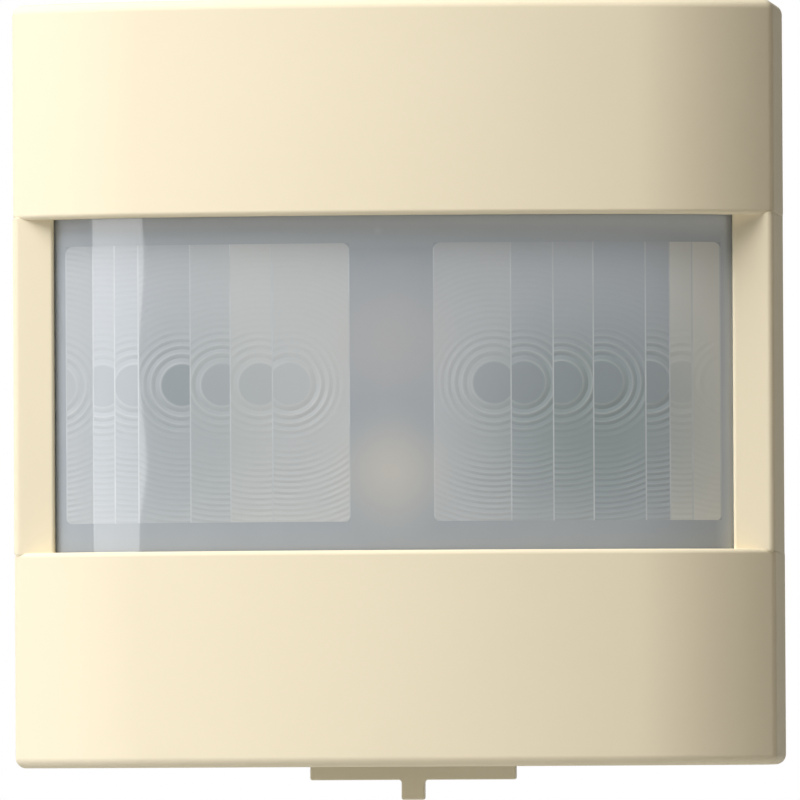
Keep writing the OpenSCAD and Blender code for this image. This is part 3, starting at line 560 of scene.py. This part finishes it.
def showRings(tree, place, base, values):
    c, zone = filmLook, ringShape
    spot, ring = place.outputs["Object"], place.outputs["UV"]
    tone = addNode(tree, "ShaderNodeUVMap", uv_map="tones")
    parts = addNode(tree, "ShaderNodeSeparateXYZ", {0: tone.outputs["UV"]})
    warmthAndLight, discShadeAmount = parts.outputs["X"], parts.outputs["Y"]
    # each field is mixed towards a warm, lighter tint: partly the film's warm hue, partly painted light
    base = addNode(tree, "ShaderNodeMix", {0: warmthAndLight, 6: base, 7: hexColour(c["warmLitTint"])},
                   data_type="RGBA").outputs[2]
    base = showDetectorsAndShade(tree, spot, base)
    # zones: plain disc of 1.53 mm, first ring 0.76 mm wide, falling to 0.4 mm, as measured
    radius = addNode(tree, "ShaderNodeVectorMath", {0: ring}, operation="LENGTH").outputs["Value"]
    ratio = addNode(tree, "ShaderNodeMath", {0: radius, 1: zone["disc"]}, operation="DIVIDE").outputs[0]
    slow = addNode(tree, "ShaderNodeMath", {0: ratio, 1: math.e}, operation="LOGARITHM").outputs[0]
    lag = addNode(tree, "ShaderNodeMath", {0: slow, 1: -zone["narrow"], 2: -zone["wide"]},
                  operation="MULTIPLY_ADD").outputs[0]
    turns = addNode(tree, "ShaderNodeMath", {0: ratio, 1: zone["wide"], 2: lag},
                    operation="MULTIPLY_ADD").outputs[0]
    tooth = addNode(tree, "ShaderNodeMath", {0: turns}, operation="FRACT").outputs[0]
    beyond = addNode(tree, "ShaderNodeMath", {0: ratio, 1: 1.0}, operation="GREATER_THAN").outputs[0]
    middle = addNode(tree, "ShaderNodeMath", {0: tooth, 1: 0.5}, operation="SUBTRACT").outputs[0]
    flank = addNode(tree, "ShaderNodeMath", {0: middle}, operation="ABSOLUTE").outputs[0]
    groove = addNode(tree, "ShaderNodeMath", {0: flank, 1: beyond}, operation="MULTIPLY").outputs[0]
    # flanks show best near the disc and in the lower part, and come and go over the field
    across = addNode(tree, "ShaderNodeSeparateXYZ", {0: ring})
    close = addNode(tree, "ShaderNodeMapRange",
                    {"Value": radius, "From Min": 2.2, "From Max": 4.2,
                     "To Min": 1.0, "To Max": 0.12}).outputs["Result"]
    low = addNode(tree, "ShaderNodeMapRange",
                  {"Value": across.outputs["Y"], "From Min": -3.5, "From Max": -6.5,
                   "To Min": 0.0, "To Max": 0.6}).outputs["Result"]
    clear = addNode(tree, "ShaderNodeMath", {0: close, 1: low}, operation="MAXIMUM").outputs[0]
    uneven = addNode(tree, "ShaderNodeTexNoise", {"Vector": spot, "Scale": 1 / (c["uneven"] * mm)})
    patchy = addNode(tree, "ShaderNodeMapRange",
                     {"Value": uneven.outputs["Fac"], "From Min": 0.38, "From Max": 0.6,
                      "To Min": 0.35, "To Max": 1.0}).outputs["Result"]
    faint = addNode(tree, "ShaderNodeMath", {0: warmthAndLight, 1: -c["warmFade"], 2: 1.0},
                    operation="MULTIPLY_ADD").outputs[0]   # fields painted warm and light show their rings less
    seen = addNode(tree, "ShaderNodeMath", {0: clear, 1: patchy}, operation="MULTIPLY").outputs[0]
    shown = addNode(tree, "ShaderNodeMath", {0: seen, 1: faint}, operation="MULTIPLY").outputs[0]
    relief = addNode(tree, "ShaderNodeBump",
                     {"Height": groove, "Distance": c["grooveDepth"] * mm, "Strength": shown})
    values["Normal"] = relief.outputs["Normal"]
    # painted shade and highlight: the plain disc is painted darker, as shade, and each steep flank gets a
    # painted highlight line
    disc = addNode(tree, "ShaderNodeMapRange", {"Value": ratio, "From Min": 1.02, "From Max": 0.92})
    shadedDisc = addNode(tree, "ShaderNodeMath", {0: disc.outputs["Result"], 1: discShadeAmount},
                   operation="MULTIPLY").outputs[0]
    base = addNode(tree, "ShaderNodeMix", {0: shadedDisc, 6: base, 7: hexColour(c["discShadeTint"])},
                   data_type="RGBA").outputs[2]
    # painted highlight: a light line on each steep flank
    sharp = addNode(tree, "ShaderNodeMapRange",
                    {"Value": flank, "From Min": 0.28, "From Max": 0.5,
                     "To Min": 0.0, "To Max": c["ringHighlightStrength"]}).outputs["Result"]
    line = addNode(tree, "ShaderNodeMath", {0: sharp, 1: shown}, operation="MULTIPLY").outputs[0]
    kept = addNode(tree, "ShaderNodeMath", {0: line, 1: beyond}, operation="MULTIPLY").outputs[0]
    return addNode(tree, "ShaderNodeMix", {0: kept, 6: base, 7: hexColour(c["ringHighlightTint"])},
                   data_type="RGBA").outputs[2]


def showRibHighlight(tree, spot, base):   # painted highlight: the ridge between two fields is painted light, and noise dims it here and there
    ripple = addNode(tree, "ShaderNodeTexNoise",
                     {"Vector": spot, "Scale": 1 / (filmLook["ribRipple"] * mm), "Detail": 3.0})
    dimmed = addNode(tree, "ShaderNodeMapRange",
                     {"Value": ripple.outputs["Fac"], "From Min": 0.35, "From Max": 0.65,
                      "To Min": 0.9, "To Max": 0.0}).outputs["Result"]
    return addNode(tree, "ShaderNodeMix", {0: dimmed, 6: base, 7: hexColour(filmLook["ribDimTint"])},
                   data_type="RGBA").outputs[2]


def roundCorners(tree, base):   # the blocks' corners are rounded off, and the bare film shows there
    c = lensShape
    halfBlock = ((c["cuts"][-1] - c["cuts"][0] + c["rib"]) / 2, (c["blockTop"] - c["blockLow"]) / 2)
    corner = (halfBlock[0] - c["blockRound"], halfBlock[1] - c["blockRound"], 0)
    block = addNode(tree, "ShaderNodeUVMap", uv_map="blocks")
    out = addNode(tree, "ShaderNodeVectorMath", {0: block.outputs["UV"]}, operation="ABSOLUTE").outputs[0]
    past = addNode(tree, "ShaderNodeVectorMath", {0: out, 1: corner}, operation="SUBTRACT").outputs[0]
    past = addNode(tree, "ShaderNodeVectorMath", {0: past, 1: (0, 0, 0)}, operation="MAXIMUM").outputs[0]
    away = addNode(tree, "ShaderNodeVectorMath", {0: past}, operation="LENGTH").outputs["Value"]
    cut = addNode(tree, "ShaderNodeMapRange",
                  {"Value": away, "From Min": c["blockRound"],
                   "From Max": c["blockRound"] + c["roundBlur"]}).outputs["Result"]
    return addNode(tree, "ShaderNodeMix", {0: cut, 6: base, 7: hexColour(filmLook["cornerTint"])},
                   data_type="RGBA").outputs[2]


def liftBorderShade(tree, spot, base):   # painted light: the upper and the right border of the bare film are painted lighter, lifting the shade under the upper ledge and at the right end
    c = filmLook
    sides = addNode(tree, "ShaderNodeSeparateXYZ", {0: spot})
    upper = addNode(tree, "ShaderNodeMapRange",
                    {"Value": sides.outputs["Z"], "From Min": c["liftLow"] * mm,
                     "From Max": c["liftHigh"] * mm, "To Max": c["liftStrength"]}).outputs["Result"]
    right = addNode(tree, "ShaderNodeMapRange",
                    {"Value": sides.outputs["X"], "From Min": c["liftLeft"] * mm,
                     "From Max": c["liftRight"] * mm, "To Max": c["liftStrength"]}).outputs["Result"]
    paintedLift = addNode(tree, "ShaderNodeMath", {0: upper, 1: right}, operation="MAXIMUM").outputs[0]
    return addNode(tree, "ShaderNodeMix", {0: paintedLift, 6: base, 7: hexColour(c["borderLiftTint"])},
                   data_type="RGBA").outputs[2]


def milkyFilm(name, light, dark, look):
    # thin milky polyethylene with a polished face: the grooves lie behind a smooth gloss
    material, tree, shader, place = startMaterial(name)
    c, spot = filmLook, place.outputs["Object"]
    cloud = addNode(tree, "ShaderNodeTexNoise",
                    {"Vector": spot, "Scale": 1 / (c["cloud"] * mm), "Detail": 2.0})
    base = addNode(tree, "ShaderNodeMix", {0: cloud.outputs["Fac"], 6: hexColour(dark), 7: hexColour(light)},
                   data_type="RGBA").outputs[2]
    base = showGuideGlowAndGate(tree, spot, base)
    # the thin film is a little wavy, so what it mirrors has soft curved edges
    wave = addNode(tree, "ShaderNodeTexNoise", {"Vector": spot, "Scale": 1 / (c["wave"] * mm), "Detail": 0.0})
    swell = addNode(tree, "ShaderNodeBump", {"Height": wave.outputs["Fac"], "Distance": c["waveDepth"] * mm})
    values = {"Roughness": 0.5, "IOR": 1.5, "Specular IOR Level": 0.2, "Coat Weight": 1.0,
              "Coat Roughness": 0.04, "Coat IOR": 1.5, "Coat Normal": swell.outputs["Normal"],
              "Subsurface Weight": 0.65, "Subsurface Radius": (1, 1, 1),
              "Subsurface Scale": c["scatter"] * mm}
    if look == "bare":
        base = liftBorderShade(tree, spot, base)
    elif look == "ringed":
        base = roundCorners(tree, showRings(tree, place, base, values))
    else:
        base = roundCorners(tree, showRibHighlight(tree, spot, base))
    values["Base Color"] = base
    setInputs(tree, shader, values)
    return material


bareFilm = milkyFilm("moulded_milky_film_bare", "#a1a8ae", "#9ca3a9", "bare")
groovedFilm = milkyFilm("moulded_milky_film_grooved", "#abb2b9", "#a5acb3", "ringed")
# painted highlight: the rib film is painted lighter than the grooved film
ribHighlightFilm = milkyFilm("moulded_milky_film_rib_highlight", "#c2c8ca", "#bcc2c5", "ribbed")

cover = makeCover()
cover.data.materials.append(creamPlastic)
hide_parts("front_cover")
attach(cover, "base")

lens = makeLens(bareFilm, groovedFilm, ribHighlightFilm)
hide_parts("lens")
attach(lens, "base")

rings = makeRings(bareFilm)
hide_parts("lens")
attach(rings, "base")

slide = makeSlide()
slide.data.materials.append(slidePlasticShaded)
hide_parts("locking_slide")
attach(slide, "lock")


# the other nodes keep their shape and get their real material

plasticFinish = {
    # nodes, light and dark shade, size of the clouds, the grain and its depth in mm, roughness and its spread
    # housing mouldings: even, satin, with a fine tool grain
    "moulded_white_polycarbonate": (["lens_frame"], "#dcdcd8", "#d4d4d0", 9, 0.3, 0.004, 0.5, 0.05),
    "moulded_black_polycarbonate": (["sensor_holder"], "#232427", "#1c1d20", 7, 0.3, 0.004, 0.5, 0.06),
    "moulded_grey_polycarbonate": (["rear_housing"], "#c9c9c4", "#bfbfba", 10, 0.35, 0.006, 0.52, 0.06),
    # small parts: smoother and brighter, with a soft shine
    "moulded_blue_polyester": (["trimmer_cases"], "#3c5f8c", "#35557f", 4, 0.2, 0.003, 0.4, 0.05),
    "moulded_orange_acetal": (["sensitivity_dial", "run_on_dial", "brightness_dial"],
                              "#cf6a35", "#c4602d", 3, 0.25, 0.004, 0.38, 0.05),
    # polished faces, pale where light gathers
    "moulded_clear_acrylic": (["indicator_guide", "brightness_guide", "indicator_lamp", "light_sensor"],
                              "#d8dad6", "#cfd2cf", 4, 0.4, 0.001, 0.15, 0.04),
    # dull black resin with a pitted skin
    "moulded_black_epoxy": (["controller_chip", "chip_resistors", "connector_block"],
                            "#2a2a2d", "#222225", 3, 0.2, 0.004, 0.55, 0.06),
    # green varnish over a woven board, a little uneven
    "pressed_green_laminate": (["circuit_board"], "#2f6a45", "#285c3c", 3, 0.6, 0.006, 0.42, 0.08),
    # dark mirror-like filter
    "coated_dark_silicon": (["detector_window_left", "detector_window_right"],
                            "#3a3038", "#2d262e", 2, 0.4, 0.0005, 0.12, 0.03),
}
metalFinish = {
    # nodes, light and dark shade, stretch of the lines, their width in mm, roughness
    "drawn_nickel_steel": (["detector_can_left", "detector_can_right", "detector_leads"],
                           "#c8c6bf", "#bdbab2", (1, 1, 8), 0.5, 0.32),
    "zinc_plated_steel": (["frame_screws", "board_screws"], "#c5c9cc", "#b4b9bd", (1, 6, 1), 0.4, 0.38),
    "rolled_spring_steel": (["retaining_springs"], "#b9bab8", "#a7a9a8", (1, 12, 1), 0.4, 0.34),
    "drawn_aluminium": (["capacitors"], "#cfd2d4", "#c2c6c9", (1, 8, 1), 0.4, 0.3),
    "tin_plated_brass": (["contact_pins"], "#d5cfbf", "#c7c0ae", (1, 9, 1), 0.3, 0.3),
}


def dress(names, material):
    for name in names:
        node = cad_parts[name]
        node.data.materials.clear()
        node.data.materials.append(material)


for finish, (names, *look) in plasticFinish.items():
    dress(names, mouldedPlastic(finish, *look))
for finish, (names, *look) in metalFinish.items():
    dress(names, drawnMetal(finish, *look))
print("materials:", len(plasticFinish), "plastics and", len(metalFinish), "metals on the kept nodes")


# studio: pale floor in mm, white surroundings; a large soft key light from the upper left, weaker lights from
# above, the left side, the right and the back, and a strip that only the gloss sees

studio = {
    "floorZ": -90.0, "floorSize": 900.0, "ambient": 0.05,
    "key": {"around": -44.0, "up": 43, "away": 0.75, "wide": 0.45, "high": 0.5, "power": 6.45,
            "tint": "#fffdfc"},
    "strip": {"around": -46.2, "up": 6, "away": 0.75, "wide": 0.32, "high": 0.35, "power": 1.35,
              "tint": "#ffffff"},
    "side": {"around": -66, "up": 9, "away": 0.75, "wide": 0.4, "high": 0.4, "power": 0.6, "tint": "#ccd6ff"},
    "fill": {"around": 50, "up": 2, "away": 0.8, "wide": 0.5, "high": 0.5, "power": 0.36, "tint": "#ffdb9c"},
    "top": {"around": -40, "up": 72, "away": 0.7, "wide": 0.6, "high": 0.4, "power": 1.7, "tint": "#ffffff"},
    "back": {"around": -142, "up": 12, "away": 0.8, "wide": 0.5, "high": 0.5, "power": 1.8,
             "tint": "#ffffff"},
}


def direction(around, up):
    turn, rise = math.radians(around), math.radians(up)
    return Vector((math.sin(turn) * math.cos(rise), -math.cos(turn) * math.cos(rise), math.sin(rise)))


def addLamp(name):
    lamp = studio[name]
    way = direction(lamp["around"], lamp["up"])
    bpy.ops.object.light_add(type="AREA", location=way * lamp["away"])
    light = bpy.context.object
    light.name = name + "_light"
    light.rotation_euler = way.to_track_quat("Z", "Y").to_euler()
    light.data.shape = "RECTANGLE"
    light.data.size = lamp["wide"]
    light.data.size_y = lamp["high"]
    light.data.energy = lamp["power"]
    light.data.color = hexColour(lamp["tint"])[:3]
    light.visible_glossy = name == "strip"   # the strip light makes the streak, the others the shading
    light.visible_diffuse = name != "strip"


for lampName in ("key", "strip", "side", "fill", "top", "back"):
    addLamp(lampName)

world = bpy.data.worlds.new("studio")
bpy.context.scene.world = world
world.use_nodes = True
sky = world.node_tree
sky.nodes.clear()
path = addNode(sky, "ShaderNodeLightPath").outputs
direct = addNode(sky, "ShaderNodeMath", {0: path["Is Camera Ray"], 1: path["Is Transmission Ray"]},
                 operation="MAXIMUM").outputs[0]
anySeen = addNode(sky, "ShaderNodeMath", {0: direct, 1: path["Is Glossy Ray"]},
                  operation="MAXIMUM").outputs[0]
soft = addNode(sky, "ShaderNodeBackground", {"Color": (1, 1, 1, 1), "Strength": studio["ambient"]})
white = addNode(sky, "ShaderNodeBackground", {"Color": (1, 1, 1, 1), "Strength": 1.0})
both = addNode(sky, "ShaderNodeMixShader", {0: anySeen, 1: soft.outputs[0], 2: white.outputs[0]})
addNode(sky, "ShaderNodeOutputWorld", {"Surface": both.outputs[0]})

floorSize = (studio["floorSize"], studio["floorSize"])
floor = addPlate("studio_floor", floorSize, (0, 0, studio["floorZ"]), (0, 0, 0))
bpy.ops.object.mode_set(mode="OBJECT")
# painted board: matt, nearly even
floor.data.materials.append(mouldedPlastic("matt_pale_board", "#c8c8c5", "#c3c3c0", patch=60, grain=2,
                                           depth=0.001, roughness=0.8, spread=0.05))


# camera: a little to the right of straight ahead, far away, as the narrow right side wall shows

view = {
    "around": 5.0, "up": -1.2, "roll": 0.3, "away": 1.2, "sees": 57.52, "plane": -18.0,
    "shiftX": 0.0090, "shiftY": -0.0200, "sensor": 36, "nearest": 0.01,
}
bpy.ops.object.camera_add()
camera = bpy.context.object
way = direction(view["around"], view["up"])
camera.location = Vector((0, view["plane"] * mm, 0)) + way * view["away"]
camera.rotation_euler = way.to_track_quat("Z", "Y").to_euler()
camera.rotation_euler.rotate_axis("Z", math.radians(-view["roll"]))
camera.data.sensor_width = view["sensor"]
camera.data.lens = view["sensor"] * view["away"] / (view["sees"] * mm)
camera.data.shift_x = view["shiftX"]
camera.data.shift_y = view["shiftY"]
camera.data.clip_start = view["nearest"]
bpy.context.scene.camera = camera
bpy.context.scene.view_settings.view_transform = "Standard"
print("studio and camera ready")
